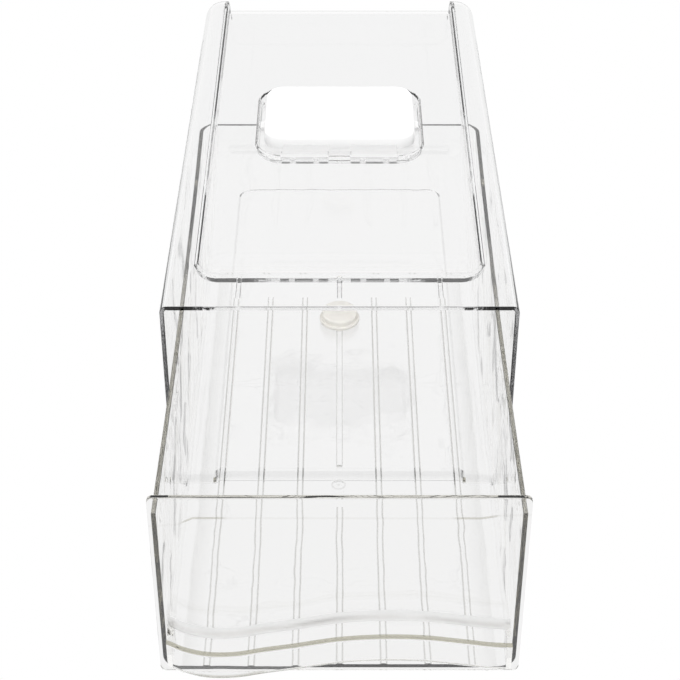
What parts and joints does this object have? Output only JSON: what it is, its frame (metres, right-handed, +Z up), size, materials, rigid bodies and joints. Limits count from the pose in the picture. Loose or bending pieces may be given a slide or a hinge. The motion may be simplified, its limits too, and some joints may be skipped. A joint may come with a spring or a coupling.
{
  "type": "fridge drawer organizer",
  "caption": "Clear stackable bin with a lowered top panel and white vent cap, holding a clear pull-out drawer with a wavy finger hood that slides on a white stop button",
  "frame": {"origin": "on the table under the centre of the whole outline with the drawer open, as pictured", "axes": "+Z up, -Y the way the drawer opens, +X to the right seen from the open end"},
  "size_m": [0.158, 0.441, 0.104],
  "materials": {
    "clear_case": "clear moulded plastic, polished",
    "clear_drawer": "clear moulded plastic, polished, faint warm tint at the edges",
    "white_plastic": "white, satin gloss",
    "ivory_plastic": "warm white, satin gloss"
  },
  "bodies": {
    "case_body": {"case": "clear_case"},
    "drawer": {"drawer_tray": "clear_drawer", "drawer_front": "clear_drawer"},
    "cap": {"vent_cap": "white_plastic"},
    "button": {"stop_button": "ivory_plastic"}
  },
  "joints": [
    {"name": "drawer_slide", "type": "slide", "parent": "case_body", "child": "drawer", "axis": [0, -1, 0], "range_m": [-0.1147, 0]},
    {"name": "cap_lift", "type": "slide", "parent": "case_body", "child": "cap", "axis": [0, 0, 1], "range_m": [0, 0.012]},
    {"name": "button_lift", "type": "slide", "parent": "case_body", "child": "button", "axis": [0, 0, 1], "range_m": [0, 0.015]}
  ]
}
